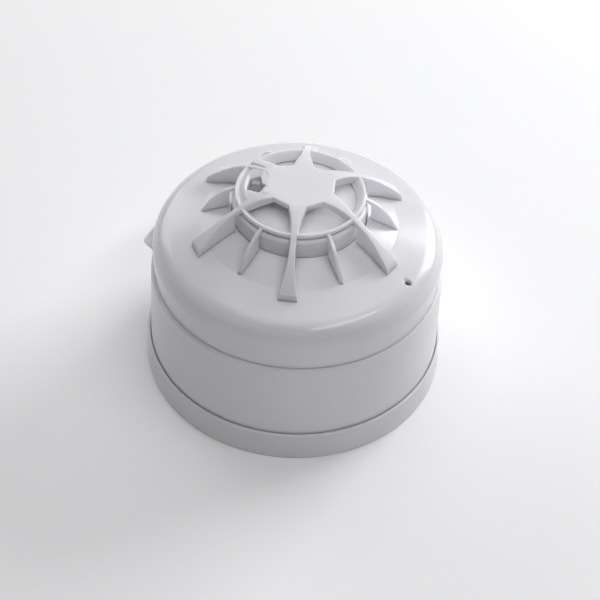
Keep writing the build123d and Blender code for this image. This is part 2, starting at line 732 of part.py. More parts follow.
with BuildPart() as buffer_capacitor:
    with Locations((*capacitor_place, radio_board_top + capacitor_r)):
        Cylinder(capacitor_r, capacitor_length, rotation=(0, 90, 0))
    fillet(buffer_capacitor.edges().filter_by(GeomType.CIRCLE), edge_fillet)
save(buffer_capacitor.part, "buffer_capacitor")

# ---------------------------------------------------------------- batteries
half_length = cell_length / 2
inner_x = half_length + contact_gap
inner_y = cell_pitch + cell_r + cell_clearance
carrier_inner_top = cell_z + cell_r + cell_clearance
carrier_top = carrier_inner_top + carrier_roof
pin_slot = (0.7, 2.2)

with BuildPart() as battery_carrier:
    with BuildSketch(Plane.XY.offset(carrier_bottom)):
        RectangleRounded(2 * (inner_x + carrier_wall), 2 * (inner_y + carrier_wall), 2.0)
    extrude(amount=carrier_top - carrier_bottom)
    with BuildSketch(Plane.XY.offset(carrier_bottom)):
        RectangleRounded(2 * inner_x, 2 * inner_y, 1.0)
    extrude(amount=carrier_inner_top - carrier_bottom, mode=Mode.SUBTRACT)
    # slots for the contacts' pins
    with BuildSketch(Plane.XY.offset(carrier_inner_top)):
        with GridLocations(2 * inner_x - 0.5, cell_pitch, 2, 3):
            Rectangle(*pin_slot)
    extrude(amount=carrier_roof, mode=Mode.SUBTRACT)
save(battery_carrier.part, "battery_carrier")

pip_r, pip_height = cell_pip
with BuildPart() as battery_cells:
    for row, side in positive_ends:
        with Locations((0, row * cell_pitch, cell_z)):
            Cylinder(cell_r, cell_length - pip_height, rotation=(0, 90, 0))
    fillet(battery_cells.edges().filter_by(GeomType.CIRCLE), 0.6)
    for row, side in positive_ends:
        with Locations((side * (half_length - pip_height / 2), row * cell_pitch, cell_z)):
            Cylinder(pip_r, pip_height, rotation=(0, 90, 0))
save(battery_cells.part, "battery_cells")


def contacts(ends, bowed):
    """Upright contact plates at the ends of the cells, each with a pin up to the radio board."""
    width, height = contact_face
    with BuildPart() as plates:
        for row, side in ends:
            face_x = side * (inner_x - contact_thickness / 2)
            with Locations((face_x, row * cell_pitch, cell_z)):
                Box(contact_thickness, width, height)
            with Locations((face_x, row * cell_pitch, cell_z + height / 2)):
                Box(contact_thickness, contact_pin_width, radio_board_z - cell_z - height / 2,
                    align=stands_on_z)
            if bowed:
                with Locations((side * (inner_x - contact_gap / 2), row * cell_pitch, cell_z)):
                    Cylinder(contact_bow_r, contact_gap, rotation=(0, 90, 0))
    return plates.part


battery_positive_contacts = contacts(positive_ends, True)
save(battery_positive_contacts, "battery_positive_contacts")
battery_negative_contacts = contacts(negative_ends, False)
save(battery_negative_contacts, "battery_negative_contacts")

with BuildPart() as battery_pad:
    with BuildSketch(Plane.XY.offset(door_top)):
        Rectangle(*pad_size)
    extrude(amount=cell_z - cell_r - door_top)
    fillet(battery_pad.edges().filter_by(Axis.Z), 3.0)
save(battery_pad.part, "battery_pad")

with BuildPart() as battery_door:
    extrude(discs(door_bottom, [(0, 0)], door_r), amount=door_top - door_bottom)
    extrude(discs(door_bottom, door_positions, m2_clearance_r),
            amount=door_top - door_bottom, mode=Mode.SUBTRACT)
    # grip ribs
    with BuildSketch(Plane.XY.offset(door_bottom)):
        with GridLocations(0, grip_pitch, 1, grip_count):
            SlotOverall(grip_rib[0], grip_rib[1])
    extrude(amount=-grip_rib[2])
save(battery_door.part, "battery_door")

door_screws = pan_screws(door_positions, door_bottom, m2_pilot_r - thread_gap, 2.1, 1.2, 5.8)
save(door_screws, "door_screws")

# ---------------------------------------------------------------- cover fixings and seal
cover_screws = pan_screws(cover_positions, screw_recess_top, m3_pilot_r - thread_gap, 2.8, 2.2, 16.0)
save(cover_screws, "cover_screws")

seal_width, seal_height = 1.1, 1.5
with BuildPart() as cover_seal:
    with BuildSketch(Plane.XZ):
        with Locations((48.0, (seal_groove_bottom + seal_groove_top) / 2)):
            Rectangle(seal_width, seal_height)
        chamfer(vertices(), 0.25)
    revolve(axis=Axis.Z)
save(cover_seal.part, "cover_seal")

# ---------------------------------------------------------------- locking screw
with BuildPart() as screw_insert:
    extrude(discs(plate_bottom, [lock_position], insert_r), amount=insert_height)
    extrude(discs(plate_bottom, [lock_position], lock_screw_r + 0.06),
            amount=insert_height, mode=Mode.SUBTRACT)
save(screw_insert.part, "screw_insert")

lock_screw_top = lock_screw_bottom + lock_screw_length
with BuildPart() as locking_screw:
    extrude(discs(lock_screw_bottom, [lock_position], lock_screw_r), amount=lock_screw_length)
    chamfer(locking_screw.edges().filter_by(GeomType.CIRCLE), lock_screw_chamfer)
    with BuildSketch(Plane.XY.offset(lock_screw_top)):
        with Locations(lock_position):
            RegularPolygon(lock_socket_r, 6, major_radius=False)
    extrude(amount=-lock_socket_depth, mode=Mode.SUBTRACT)
save(locking_screw.part, "locking_screw")

# ---------------------------------------------------------------- tamper plunger
with BuildPart() as tamper_plunger:
    extrude(discs(tamper_tip, [tamper_centre], plunger_r), amount=plunger_collar_bottom - tamper_tip)
    fillet(tamper_plunger.edges().filter_by(GeomType.CIRCLE).sort_by(Axis.Z)[0], plunger_tip_fillet)
    extrude(discs(plunger_collar_bottom, [tamper_centre], tamper_bore_r - 0.3),
            amount=plunger_collar_top - plunger_collar_bottom)
    extrude(discs(plunger_collar_top, [tamper_centre], stem_r), amount=stem_top - plunger_collar_top)
save(tamper_plunger.part, "tamper_plunger")

spring_bottom = plunger_collar_top + spring_wire_r
spring_length = cap_bottom - plunger_collar_top - 2 * spring_wire_r
with BuildPart() as tamper_spring:
    with BuildLine():
        Helix(spring_length / spring_turns, spring_length, spring_r, center=(*tamper_centre, spring_bottom))
    with BuildSketch(Plane(origin=(spring_r, tamper_y, spring_bottom), z_dir=(0, 1, 0))):
        Circle(spring_wire_r)
    sweep(is_frenet=True)
save(tamper_spring.part, "tamper_spring")

with BuildPart() as tamper_cap:
    extrude(discs(cap_bottom, [tamper_centre], tamper_bore_r), amount=cap_top - cap_bottom)
    extrude(discs(cap_bottom, [tamper_centre], stem_r + running_gap),
            amount=cap_top - cap_bottom, mode=Mode.SUBTRACT)
save(tamper_cap.part, "tamper_cap")

button_r, button_height = switch_button
with BuildPart() as tamper_switch:
    with Locations((*tamper_centre, radio_board_z)):
        Box(*switch_size, align=hangs_from_z)
    fillet(tamper_switch.edges().filter_by(Axis.Z), 0.4)
    with Locations((*tamper_centre, radio_board_z - switch_size[2])):
        Cylinder(button_r, button_height, align=hangs_from_z)
save(tamper_switch.part, "tamper_switch")

# ---------------------------------------------------------------- index flag
with BuildPart() as index_flag:
    with BuildSketch(Plane.XY.offset(seam_z)):
        closed_outline(flag_outline)
        fillet(vertices().sort_by(Axis.X)[0], flag_tip_fillet)
    extrude(amount=flag_thickness)
    # raised border
    with BuildSketch(Plane.XY.offset(seam_z + flag_thickness)):
        closed_outline(flag_outline)
        offset(amount=-flag_border, kind=Kind.INTERSECTION)
    extrude(amount=-flag_recess, mode=Mode.SUBTRACT)
save(index_flag.part, "index_flag")
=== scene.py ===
"""Looks of the radio heat detector: detailed mesh pieces, materials, light and camera.

Shapes are worked out in millimetres, in the CAD frame, and scaled to metres at the end.
Outlines of turned pieces are lists of (radius, height, rounding of that corner).
"""

import json
from math import atan2, cos, hypot, pi, radians, sin, tan

import bmesh
import bpy
import numpy as np
from mathutils import Matrix, Vector


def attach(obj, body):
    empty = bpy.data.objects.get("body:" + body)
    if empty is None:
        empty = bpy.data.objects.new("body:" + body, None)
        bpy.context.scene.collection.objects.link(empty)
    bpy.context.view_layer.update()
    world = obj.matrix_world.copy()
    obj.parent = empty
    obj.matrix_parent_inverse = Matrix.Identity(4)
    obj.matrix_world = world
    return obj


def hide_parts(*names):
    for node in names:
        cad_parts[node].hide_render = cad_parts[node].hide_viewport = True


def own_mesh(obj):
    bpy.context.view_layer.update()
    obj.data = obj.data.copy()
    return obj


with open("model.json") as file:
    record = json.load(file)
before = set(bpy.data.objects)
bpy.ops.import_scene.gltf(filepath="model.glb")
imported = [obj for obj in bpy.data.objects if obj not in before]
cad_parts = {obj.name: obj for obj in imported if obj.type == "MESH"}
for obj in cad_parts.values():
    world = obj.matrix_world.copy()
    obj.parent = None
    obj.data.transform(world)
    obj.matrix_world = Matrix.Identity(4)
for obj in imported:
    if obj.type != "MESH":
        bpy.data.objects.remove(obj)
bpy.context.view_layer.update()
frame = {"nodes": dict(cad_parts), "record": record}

MM = 0.001
SEGMENTS = 288               # round a turned piece
CORNER_STEPS = 5             # round a rounded corner
SHARP_ANGLE = radians(32)

BIG_RIBS = (30, 90, 150, 210, 270, 330)
SMALL_RIBS = (0, 60, 120, 180, 240, 300)
BACK_FACETS = (60, 120)      # star edges that lie nearer the axis


# ---------------------------------------------------------------- outlines
def polar(radius, azimuth):
    """Point on the level plane at a radius and an azimuth in degrees."""
    return radius * cos(radians(azimuth)), radius * sin(radians(azimuth))


def turned(points, azimuth):
    """Plan points turned about the axis."""
    c, s = cos(radians(azimuth)), sin(radians(azimuth))
    return [(x * c - y * s, x * s + y * c) for x, y in points]


def corner_arc(before, corner, after, radius, steps=CORNER_STEPS):
    """Points that round one corner of an outline."""
    b, c, a = Vector(before[:2]), Vector(corner[:2]), Vector(after[:2])
    to_b, to_a = (b - c).normalized(), (a - c).normalized()
    half = to_b.angle(to_a) / 2
    if half > radians(88) or radius <= 0:
        return [tuple(c)]
    reach = min(radius / tan(half), 0.48 * (b - c).length, 0.48 * (a - c).length)
    radius = reach * tan(half)
    centre = c + (to_b + to_a).normalized() * (radius / sin(half))
    start, end = c + to_b * reach - centre, c + to_a * reach - centre
    sweep = atan2(start.x * end.y - start.y * end.x, start.dot(end))
    turns = [sweep * i / steps for i in range(steps + 1)]
    return [(centre.x + start.x * cos(t) - start.y * sin(t),
             centre.y + start.x * sin(t) + start.y * cos(t)) for t in turns]


def rounded(corners, radius=0.0, steps=CORNER_STEPS):
    """Closed outline with each corner rounded by its third number, or else by radius."""
    points = []
    for i, corner in enumerate(corners):
        own = corner[2] if len(corner) > 2 else radius
        points += corner_arc(corners[i - 1], corner, corners[(i + 1) % len(corners)], own, steps)
    return points


def tangent_arc(start, end, tangent, steps=14):
    """Points after start on the circle arc that leaves start along tangent and reaches end."""
    s, e, t = Vector(start), Vector(end), Vector(tangent).normalized()
    chord = e - s
    side = Vector((-t.y, t.x))
    radius = chord.length_squared / (2 * chord.dot(side))
    centre = s + side * radius
    a, b = s - centre, e - centre
    sweep = atan2(a.x * b.y - a.y * b.x, a.dot(b))
    turns = [sweep * i / steps for i in range(1, steps + 1)]
    return [(centre.x + a.x * cos(u) - a.y * sin(u), centre.y + a.x * sin(u) + a.y * cos(u), 0)
            for u in turns]


def three_point_arc(start, middle, end, steps=20):
    """Points after start on the circle through three points."""
    (x1, y1), (x2, y2), (x3, y3) = start, middle, end
    d = 2 * (x1 * (y2 - y3) + x2 * (y3 - y1) + x3 * (y1 - y2))
    q1, q2, q3 = x1 * x1 + y1 * y1, x2 * x2 + y2 * y2, x3 * x3 + y3 * y3
    cx = (q1 * (y2 - y3) + q2 * (y3 - y1) + q3 * (y1 - y2)) / d
    cy = (q1 * (x3 - x2) + q2 * (x1 - x3) + q3 * (x2 - x1)) / d
    first, last = atan2(y1 - cy, x1 - cx), atan2(y3 - cy, x3 - cx)
    r = hypot(x1 - cx, y1 - cy)
    turns = np.linspace(first, last, steps + 1)[1:]
    return [(cx + r * cos(u), cy + r * sin(u), 0) for u in turns]


def smooth_curve(points, start=None, end=None, steps=12):
    """Cubic through the points, with optional directions at its ends, as an array."""
    p = np.array(points, float)
    t = np.concatenate([[0], np.cumsum(np.linalg.norm(np.diff(p, axis=0), axis=1))])
    slopes = np.gradient(p, t, axis=0)
    for index, direction in ((0, start), (-1, end)):
        if direction:
            slopes[index] = np.array(direction) / np.linalg.norm(direction)
    curve = []
    for i in range(len(p) - 1):
        gap = t[i + 1] - t[i]
        for u in np.linspace(0, 1, steps, endpoint=False):
            curve.append((2 * u**3 - 3 * u**2 + 1) * p[i] + (u**3 - 2 * u**2 + u) * gap * slopes[i]
                         + (3 * u**2 - 2 * u**3) * p[i + 1] + (u**3 - u**2) * gap * slopes[i + 1])
    return np.array(curve + [p[-1]])


# ---------------------------------------------------------------- mesh pieces
def new_object(name, build):
    """Object whose mesh build(bm) makes, with its faces turned outwards."""
    bm = bmesh.new()
    build(bm)
    bmesh.ops.remove_doubles(bm, verts=bm.verts, dist=1e-5)
    bmesh.ops.recalc_face_normals(bm, faces=bm.faces)
    mesh = bpy.data.meshes.new(name)
    bm.to_mesh(mesh)
    bm.free()
    made = bpy.data.objects.new(name, mesh)
    bpy.context.scene.collection.objects.link(made)
    return made


def lathe(name, outline, centre=(0, 0), segments=SEGMENTS):
    """Closed outline of (radius, height) turned about an upright axis."""
    def build(bm):
        columns = []
        for i in range(segments):
            c, s = cos(2 * pi * i / segments), sin(2 * pi * i / segments)
            columns.append([bm.verts.new((centre[0] + r * c, centre[1] + r * s, z))
                            for r, z in outline])
        for i, column in enumerate(columns):
            after = columns[(i + 1) % segments]
            for j, (r, _) in enumerate(outline):
                k = (j + 1) % len(outline)
                if r > 1e-6 or outline[k][0] > 1e-6:
                    bm.faces.new((column[j], after[j], after[k], column[k]))
    return new_object(name, build)


def stack(name, loops):
    """Closed skin over a stack of loops with the same number of points, capped at both ends."""
    def build(bm):
        rings = [[bm.verts.new(point) for point in loop] for loop in loops]
        for lower, upper in zip(rings, rings[1:]):
            for j in range(len(lower)):
                k = (j + 1) % len(lower)
                bm.faces.new((lower[j], lower[k], upper[k], upper[j]))
        bm.faces.new(rings[0][::-1])
        bm.faces.new(rings[-1])
    return new_object(name, build)


def cylinder(name, radius, bottom, top, centre=(0, 0), segments=48):
    """Upright cylinder."""
    return lathe(name, [(0, bottom), (radius, bottom), (radius, top), (0, top)], centre, segments)


def post(name, radius, bottom, top, edge, centre, segments=48):
    """Upright cylinder with a rounded upper edge."""
    outline = rounded([(0, bottom), (radius, bottom), (radius, top, edge), (0, top)])
    return lathe(name, outline, centre, segments)


def prism(name, outline, bottom, top):
    """Upright prism over a plan outline."""
    return stack(name, [[(x, y, z) for x, y in outline] for z in (bottom, top)])


def sector_outline(inner_r, outer_r, azimuth, half_span, steps=14):
    """Plan of a ring sector."""
    angles = np.linspace(azimuth - half_span, azimuth + half_span, steps)
    return [polar(outer_r, a) for a in angles] + [polar(inner_r, a) for a in angles[::-1]]


def slot_outline(centre, length, width, azimuth, steps=14):
    """Plan of a slot with round ends."""
    reach = (length - width) / 2
    ends = []
    for side in (1, -1):
        for i in range(steps + 1):
            a = -pi / 2 + pi * i / steps
            ends.append((side * (reach + width / 2 * cos(a)), side * width / 2 * sin(a)))
    return [(centre[0] + x, centre[1] + y) for x, y in turned(ends, azimuth)]


def apply_modifiers(piece):
    """Gives the piece its evaluated mesh."""
    evaluated = piece.evaluated_get(bpy.context.evaluated_depsgraph_get())
    shape = bpy.data.meshes.new_from_object(evaluated)
    piece.modifiers.clear()
    piece.data = shape


def combine(piece, tool, operation):
    """Adds the tool's solid to the piece or takes it away, and removes the tool."""
    modifier = piece.modifiers.new("combine", "BOOLEAN")
    modifier.operation = operation
    modifier.solver = "MANIFOLD"
    modifier.object = tool
    apply_modifiers(piece)
    bpy.data.objects.remove(tool)
    return piece


def join(piece, *tools):
    """Adds each tool's solid to the piece."""
    for tool in tools:
        combine(piece, tool, "UNION")
    return piece


def cut(piece, *tools):
    """Takes each tool's solid away from the piece."""
    for tool in tools:
        combine(piece, tool, "DIFFERENCE")
    return piece


def finish_piece(piece, nodes, body, slot):
    """Scales a millimetre piece to metres, shades it and puts it in the CAD nodes' place."""
    piece.data.transform(Matrix.Scale(MM, 4))
    piece.data.shade_smooth()
    piece.data.set_sharp_from_angle(angle=SHARP_ANGLE)
    normals = piece.modifiers.new("normals", "WEIGHTED_NORMAL")
    normals.keep_sharp = True
    piece.data.materials.clear()
    piece.data.materials.append(MATERIALS[slot])
    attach(piece, body)
    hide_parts(*nodes)
    return piece


# ---------------------------------------------------------------- shader building
class Shader:
    """A node material: nodes are added by type, and inputs are values or other nodes' outputs."""

    def __init__(self, name):
        self.material = bpy.data.materials.new(name)
        self.material.use_nodes = True
        self.tree = self.material.node_tree
        self.tree.nodes.clear()
        self.place = self.add("ShaderNodeTexCoord").outputs["Object"]

    def add(self, kind, inputs=None, **settings):
        made = self.tree.nodes.new(kind)
        for key, value in settings.items():
            setattr(made, key, value)
        for key, value in (inputs or {}).items():
            if isinstance(value, bpy.types.NodeSocket):
                self.tree.links.new(value, made.inputs[key])
            else:
                made.inputs[key].default_value = value
        return made

    def noise(self, size_mm, detail=2.0, stretch=(1, 1, 1)):
        """Noise with features of about that size."""
        place = self.place
        if stretch != (1, 1, 1):
            place = self.add("ShaderNodeMapping", {"Vector": place, "Scale": stretch}).outputs["Vector"]
        inputs = {"Vector": place, "Scale": 1 / (size_mm * MM), "Detail": detail, "Roughness": 0.55}
        return self.add("ShaderNodeTexNoise", inputs).outputs["Fac"]

    def to_range(self, value, low, high, start=0.3, end=0.7):
        inputs = {"Value": value, "From Min": start, "From Max": end, "To Min": low, "To Max": high}
        return self.add("ShaderNodeMapRange", inputs).outputs["Result"]

    def mix(self, factor, first, second):
        made = self.add("ShaderNodeMix", data_type="RGBA")
        sockets = (made.inputs[0], made.inputs[6], made.inputs[7])
        for socket, value in zip(sockets, (factor, first, second)):
            if isinstance(value, bpy.types.NodeSocket):
                self.tree.links.new(value, socket)
            else:
                socket.default_value = value if socket.name == "Factor" else (*value, 1)
        return made.outputs[2]

    def soft_edges(self, radius_mm):
        """Normal that rounds the creases, and a mask that is 1 on them."""
        normal = self.add("ShaderNodeBevel", {"Radius": radius_mm * MM}, samples=6).outputs["Normal"]
        facing = self.add("ShaderNodeNewGeometry").outputs["Normal"]
        flat = self.add("ShaderNodeVectorMath", {0: normal, 1: facing}, operation="DOT_PRODUCT")
        return normal, self.to_range(flat.outputs["Value"], 1, 0, 0.80, 0.995)

    def bump(self, height, depth_mm, strength=1.0, normal=None):
        inputs = {"Height": height, "Distance": depth_mm * MM, "Strength": strength}
        if normal is not None:
            inputs["Normal"] = normal
        return self.add("ShaderNodeBump", inputs).outputs["Normal"]

    def surface(self, inputs):
        shader = self.add("ShaderNodeBsdfPrincipled", inputs)
        output = self.add("ShaderNodeOutputMaterial")
        self.tree.links.new(shader.outputs["BSDF"], output.inputs["Surface"])
        return self.material


def scaled(colour, factor):
    """Colour made lighter or darker."""
    return tuple(min(1.0, c * factor) for c in colour)


# Tint of the shade painted into crevices, recesses and gaps between parts
PAINTED_SHADE_TINT = (0.70, 0.70, 0.735)


def moulded_plastic(name, colour, roughness, grain_mm=0.35, grain_depth=0.002, edge_radius=0.25,
                    edge_light=0.25, painted_shade=0.08):
    """Moulded plastic: fine grain, uneven gloss, edges painted paler as wear and as a painted highlight,
    and painted shade in crevices.
    """
    s = Shader(name)
    flow = s.to_range(s.noise(22, detail=3), 0, 1)
    tone = s.mix(flow, scaled(colour, 0.99), scaled(colour, 1.01))
    normal, edges = s.soft_edges(edge_radius)
    # Edges painted paler, partly as wear and partly as a painted highlight on the rounded edges.
    wear_and_highlight = s.to_range(s.noise(3, detail=4), 0.3 * edge_light, edge_light)
    edge_share = s.add("ShaderNodeMath", {0: edges, 1: wear_and_highlight}, operation="MULTIPLY").outputs[0]
    tone = s.mix(edge_share, tone, scaled(colour, 1.08))
    # Painted shade: the colour is darkened and tinted blue where ambient occlusion finds crevices,
    # recesses and gaps between parts.
    occlusion = s.add("ShaderNodeAmbientOcclusion", {"Distance": 3 * MM}, samples=6).outputs["AO"]
    painted_shade_colour = tuple(c * f for c, f in zip(colour, PAINTED_SHADE_TINT))
    tone = s.mix(s.to_range(occlusion, painted_shade, 0, 0.0, 0.75), tone, painted_shade_colour)
    gloss = s.to_range(s.noise(5, detail=3), roughness - 0.012, roughness + 0.015)
    normal = s.bump(s.noise(grain_mm, detail=3), grain_depth, 0.4, normal)
    return s.surface({"Base Color": tone, "Roughness": gloss, "Normal": normal, "IOR": 1.5,
                      "Subsurface Weight": 0.65, "Subsurface Radius": (1.0, 0.97, 0.94),
                      "Subsurface Scale": 3.0 * MM})


def metal(name, colour, roughness, brush=(1, 1, 14), dark=0.75, edge_light=0.5):
    """Metal with brushed or drawn grain, uneven tarnish and bright edges."""
    s = Shader(name)
    tarnish = s.to_range(s.noise(2.5, detail=5), 0, 1)
    tone = s.mix(tarnish, scaled(colour, dark), colour)
    normal, edges = s.soft_edges(0.12)
    share = s.add("ShaderNodeMath", {0: edges, 1: edge_light}, operation="MULTIPLY").outputs[0]
    tone = s.mix(share, tone, scaled(colour, 1.25))
    grain = s.noise(0.35, detail=3, stretch=brush)
    gloss = s.to_range(grain, roughness - 0.06, roughness + 0.08)
    return s.surface({"Base Color": tone, "Roughness": gloss, "Metallic": 1.0,
                      "Normal": s.bump(grain, 0.006, 0.4, normal)})


def rubbery(name, colour, roughness, cell_mm=0.3, depth_mm=0.02):
    """Rubber or foam: fine cells and dusty high spots."""
    s = Shader(name)
    cells = s.noise(cell_mm, detail=4)
    tone = s.mix(s.to_range(s.noise(4, detail=4), 0, 1), colour, scaled(colour, 1.5))
    gloss = s.to_range(cells, roughness - 0.08, roughness + 0.05)
    return s.surface({"Base Color": tone, "Roughness": gloss, "Normal": s.bump(cells, depth_mm, 0.7)})


def circuit_board(name):
    """Solder mask over copper tracks that show as faint raised lines."""
    s = Shader(name)
    tracks = s.add("ShaderNodeTexBrick", {"Vector": s.place, "Scale": 260.0, "Mortar Size": 0.03,
                                          "Color1": (0, 0, 0, 1), "Color2": (0, 0, 0, 1),
                                          "Mortar": (1, 1, 1, 1)}).outputs["Color"]
    wander = s.to_range(s.noise(3.0, detail=4), 0, 1)
    tone = s.mix(wander, (0.012, 0.085, 0.035), (0.018, 0.115, 0.05))
    tone = s.mix(s.to_range(tracks, 0, 0.55, 0, 1), tone, (0.05, 0.22, 0.09))
    gloss = s.to_range(s.noise(0.5), 0.28, 0.4)
    return s.surface({"Base Color": tone, "Roughness": gloss, "Normal": s.bump(tracks, 0.03, 0.6)})


def clear_moulding(name):
    """Clear moulded light pipe, slightly smoky, with flow lines."""
    s = Shader(name)
    flow = s.noise(0.7, detail=3, stretch=(1, 1, 0.2))
    tone = s.mix(s.to_range(flow, 0, 1), (0.72, 0.735, 0.76), (0.82, 0.83, 0.85))
    gloss = s.to_range(flow, 0.06, 0.16)
    return s.surface({"Base Color": tone, "Roughness": gloss, "Transmission Weight": 0.55, "IOR": 1.49,
                      "Normal": s.bump(flow, 0.01, 0.4)})


def resin(name, colour, roughness):
    """Dipped or cast resin: glossy, with a slow wave in its skin."""
    s = Shader(name)
    wave = s.noise(0.9, detail=2)
    tone = s.mix(s.to_range(wave, 0, 1), colour, scaled(colour, 1.3))
    gloss = s.to_range(s.noise(0.25), roughness - 0.03, roughness + 0.05)
    return s.surface({"Base Color": tone, "Roughness": gloss, "Normal": s.bump(wave, 0.03, 0.4)})


def sleeve(name, colour, band):
    """Shrunk film sleeve with a paler band round it and fine wrinkles along it."""
    s = Shader(name)
    along = s.add("ShaderNodeSeparateXYZ", {"Vector": s.place}).outputs["X"]
    stripe = s.add("ShaderNodeMath", {0: along, 1: 6 * MM, 2: 2 * MM}, operation="COMPARE").outputs[0]
    tone = s.mix(stripe, s.mix(s.to_range(s.noise(4), 0, 1), colour, scaled(colour, 1.15)), band)
    wrinkle = s.noise(0.8, detail=3, stretch=(0.2, 1, 1))
    return s.surface({"Base Color": tone, "Roughness": s.to_range(wrinkle, 0.22, 0.34),
                      "Normal": s.bump(wrinkle, 0.02, 0.5)})


WHITE = (0.795, 0.795, 0.828)

MATERIALS = {
    "base_plastic": moulded_plastic("base_plastic", scaled(WHITE, 0.985), 0.32),
    "housing_plastic": moulded_plastic("housing_plastic", WHITE, 0.34, grain_depth=0.003),
    "cover_plastic": moulded_plastic("cover_plastic", scaled(WHITE, 1.01), 0.20),
    # Painted light: the dome's plastic is 1.12 times paler than the other white parts, to lighten the
    # shade under the hoop and the star.
    "dome_plastic": moulded_plastic("dome_plastic", scaled(WHITE, 1.12), 0.30, painted_shade=0.02),
    "inner_plastic": moulded_plastic("inner_plastic", (0.50, 0.50, 0.51), 0.5, grain_depth=0.015),
    "plunger_plastic": moulded_plastic("plunger_plastic", (0.62, 0.60, 0.54), 0.45),
    "clear_plastic": clear_moulding("clear_plastic"),
    "led_body": resin("led_body", (0.72, 0.70, 0.60), 0.2),
    "sensor_resin": resin("sensor_resin", (0.02, 0.02, 0.024), 0.16),
    "tinned_wire": metal("tinned_wire", (0.70, 0.70, 0.69), 0.26, brush=(1, 1, 0.1)),
    "tinned_steel": metal("tinned_steel", (0.68, 0.68, 0.66), 0.32, brush=(0.1, 4, 1)),
    "zinc_steel": metal("zinc_steel", (0.62, 0.64, 0.66), 0.3),
    "dark_steel": metal("dark_steel", (0.07, 0.07, 0.075), 0.38),
    "spring_steel": metal("spring_steel", (0.50, 0.51, 0.53), 0.24),
    "nickel_plate": metal("nickel_plate", (0.70, 0.67, 0.60), 0.2, brush=(1, 1, 0.1)),
    "antenna_brass": metal("antenna_brass", (0.72, 0.50, 0.20), 0.3, brush=(1, 1, 8)),
    "insert_brass": metal("insert_brass", (0.74, 0.52, 0.22), 0.28),
    "board_green": circuit_board("board_green"),
    "chip_black": resin("chip_black", (0.016, 0.016, 0.017), 0.5),
    "connector_black": rubbery("connector_black", (0.014, 0.014, 0.015), 0.5, depth_mm=0.01),
    "capacitor_sleeve": sleeve("capacitor_sleeve", (0.012, 0.016, 0.04), (0.35, 0.36, 0.40)),
    "battery_sleeve": sleeve("battery_sleeve", (0.03, 0.09, 0.26), (0.45, 0.47, 0.50)),
    "grey_foam": rubbery("grey_foam", (0.045, 0.045, 0.048), 0.92, cell_mm=0.5, depth_mm=0.15),
    "black_rubber": rubbery("black_rubber", (0.012, 0.012, 0.012), 0.6),
}


def dress_cad_nodes():
    """Every CAD node gets its slot's material."""
    for part in frame["record"]["subparts"]:
        node = frame["nodes"][part["node"]]
        node.data.materials.clear()
        node.data.materials.append(MATERIALS[part["material_slot"]])


# ---------------------------------------------------------------- mounting base
LUG_AZIMUTHS = (30, 150, 270)            # bayonet lugs, and the radio board's pillars
SCREW_AZIMUTHS = (90, 210, 330)          # battery door's and sensor board's screws
TAMPER = (0, 44.6)                       # the tamper plunger's axis
LOCK_R, LOCK_AZIMUTH = 45.2, -30         # the locking screw's
LOCK_PLACE = polar(LOCK_R, LOCK_AZIMUTH)


def fixing_slot(azimuth):
    """Cutter for a ceiling screw's slot, which chamfers both of its edges."""
    slot_r, length, width, chamfer = 30.0, 13.2, 4.2, 0.6
    loops = []
    for z, grow in ((-1, chamfer), (-0.001, chamfer), (0.3, 0.0), (2.2, 0.0), (2.501, chamfer),
                    (3.0, chamfer)):
        outline = slot_outline(polar(slot_r, azimuth), length + grow, width + grow, azimuth)
        loops.append([(x, y, z) for x, y in outline])
    return stack("slot", loops)


def make_base():
    """Shallow dish with the bayonet's ledges and the slots for the ceiling screws."""
    outline = rounded([(0, 0), (55.0, 0, 0.5), (54.6, 11.8, 0.75), (53.55, 11.8, 0.12),
                       (53.55, 2.5, 0.5), (0, 2.5)])
    base = lathe("base_shell", outline)
    sunk = 2.2               # added walls start a little inside the floor
    ledge_low, ledge_top, stop_top = 6.8, 8.5, 7.2
    ledge_inner_r, ledge_outer_r = 42.4, 46.4
    for azimuth in LUG_AZIMUTHS:
        wall = prism("wall", sector_outline(46.0, 48.0, azimuth - 1, 12), sunk, ledge_top)
        ledge = sector_outline(ledge_inner_r, ledge_outer_r, azimuth - 1, 12)
        stop = sector_outline(ledge_inner_r, ledge_outer_r, azimuth - 12, 1)
        join(base, wall, prism("ledge", ledge, ledge_low, ledge_top), prism("stop", stop, sunk, stop_top))
    dog = prism("dog", sector_outline(LOCK_R - 1.8, LOCK_R + 1.8, -24, 1.3), sunk, stop_top)
    join(base, dog, post("pad", 2.6, sunk, 5.0, 0.3, TAMPER))
    for azimuth in (0, 90, 180, 270):
        cut(base, fixing_slot(azimuth))
    return finish_piece(base, ["mounting_base"], "base", "base_plastic")


# ---------------------------------------------------------------- head housing
COVER_SCREWS = [polar(44.4, a) for a in (60, 180, 300)]


